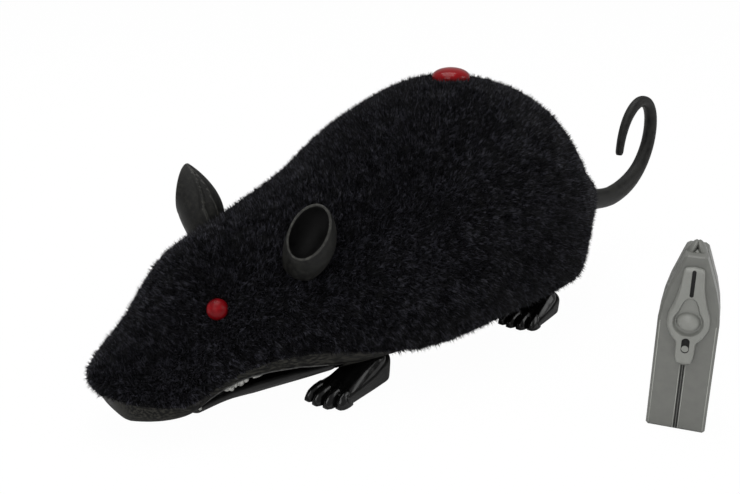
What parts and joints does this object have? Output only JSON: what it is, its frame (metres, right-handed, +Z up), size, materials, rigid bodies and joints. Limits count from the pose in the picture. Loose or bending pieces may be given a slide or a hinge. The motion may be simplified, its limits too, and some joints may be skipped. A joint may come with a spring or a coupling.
{
  "type": "remote control rat toy",
  "caption": "Black plush rat toy on hidden geared wheels, with curled tail, clawed feet and red dome, and its hand-held remote control.",
  "frame": {"origin": "on the floor under the middle of the whole object's box", "axes": "+Z up, the rat's nose towards -X, its left side and the remote towards -Y"},
  "size_m": [0.277, 0.1642, 0.0955],
  "materials": {
    "plush": "short black pile",
    "dark_plastic": "satin black",
    "gloss_black": "gloss black",
    "rubber": "dark grey rubber",
    "red": "clear red",
    "ivory": "pale grey",
    "tyre": "matt black",
    "nylon": "natural white",
    "brass": "machined",
    "steel": "bright",
    "zinc": "zinc plated",
    "cell": "printed sleeve, plain",
    "board": "solder mask",
    "cable": "insulation",
    "grey_plastic": "satin mid grey",
    "light_grey_plastic": "satin grey",
    "clear_plastic": "clear"
  },
  "bodies": {
    "rat_body": {"plush_cover": "plush", "upper_shell": "dark_plastic", "ear_left": "rubber", "ear_right": "rubber", "eye_left": "red", "eye_right": "red", "receiver_dome": "red", "tail": "rubber", "lower_jaw": "gloss_black", "upper_teeth": "ivory", "chassis": "dark_plastic", "foot_front_left": "gloss_black", "foot_front_right": "gloss_black", "foot_rear_left": "gloss_black", "foot_rear_right": "gloss_black", "idler_pin": "steel", "motor": "zinc", "battery_1": "cell", "battery_2": "cell", "battery_3": "cell", "battery_spring_1": "steel", "battery_spring_2": "steel", "battery_spring_3": "steel", "contact_plate_front": "steel", "contact_plate_rear": "steel", "power_switch_case": "zinc", "circuit_board": "board", "ir_receiver": "board", "receiver_lead": "cable", "gearbox_cover": "dark_plastic", "case_screw_1": "steel", "case_screw_2": "steel", "case_screw_3": "steel"},
    "drive_wheels": {"drive_axle": "steel", "axle_gear": "nylon", "wheel_left": "dark_plastic", "wheel_right": "dark_plastic", "tyre_left": "tyre", "tyre_right": "tyre"},
    "idler": {"idler_gear": "nylon"},
    "motor_rotor": {"motor_shaft": "steel", "motor_pinion": "brass"},
    "caster": {"caster_fork": "dark_plastic", "caster_axle": "steel"},
    "caster_roller": {"caster_wheel": "tyre"},
    "power_switch": {"switch_knob": "nylon"},
    "cell_door": {"battery_door": "dark_plastic"},
    "remote": {"remote_front_case": "grey_plastic", "remote_back_case": "grey_plastic", "remote_bezel": "light_grey_plastic", "remote_led_hood": "grey_plastic", "remote_led": "clear_plastic", "remote_board": "board", "remote_battery_1": "steel", "remote_battery_2": "steel", "remote_battery_3": "steel", "remote_contact_spring": "steel"},
    "remote_rocker": {"remote_button": "grey_plastic"},
    "remote_slide_knob": {"remote_slider": "light_grey_plastic"},
    "remote_door": {"remote_battery_door": "grey_plastic"}
  },
  "joints": [
    {"name": "drive_spin", "type": "hinge", "parent": "rat_body", "child": "drive_wheels", "pos_m": [0.02846, 0.0332, 0.014], "axis": [0, 1, 0], "continuous": true},
    {"name": "idler_spin", "type": "hinge", "parent": "rat_body", "child": "idler", "pos_m": [0.02178, 0.0332, 0.02092], "axis": [0, 1, 0], "continuous": true},
    {"name": "motor_spin", "type": "hinge", "parent": "rat_body", "child": "motor_rotor", "pos_m": [0.01475, 0.0332, 0.0282], "axis": [0, 1, 0], "continuous": true},
    {"name": "caster_swivel", "type": "hinge", "parent": "rat_body", "child": "caster", "pos_m": [-0.05804, 0.0332, 0.015], "axis": [0, 0, 1], "continuous": true},
    {"name": "caster_spin", "type": "hinge", "parent": "caster", "child": "caster_roller", "pos_m": [-0.05484, 0.0332, 0.0062], "axis": [0, 1, 0], "continuous": true},
    {"name": "power_switch_slide", "type": "slide", "parent": "rat_body", "child": "power_switch", "axis": [1, 0, 0], "range_m": [0, 0.003]},
    {"name": "battery_door_lift", "type": "slide", "parent": "rat_body", "child": "cell_door", "axis": [0, 0, -1], "range_m": [0, 0.006]},
    {"name": "remote_lift", "type": "slide", "parent": "rat_body", "child": "remote", "axis": [0, 0, 1], "range_m": [0, 0.1]},
    {"name": "remote_button_rock", "type": "hinge", "parent": "remote", "child": "remote_rocker", "pos_m": [-0.0032, -0.07513, 0.03567], "axis": [0.4848, -0.8746, 0], "range_deg": [-8, 8], "stiffness_Nm_per_rad": 0.08},
    {"name": "remote_slider_move", "type": "slide", "parent": "remote", "child": "remote_slide_knob", "axis": [0, 0, 1], "range_m": [0, 0.002]},
    {"name": "remote_door_lift", "type": "slide", "parent": "remote", "child": "remote_door", "axis": [0.8746, 0.4848, 0], "range_m": [0, 0.015]}
  ],
  "couplings": [
    {"joint": "idler_spin", "follows": "drive_spin", "ratio": -2.8},
    {"joint": "motor_spin", "follows": "drive_spin", "ratio": 8.4}
  ]
}
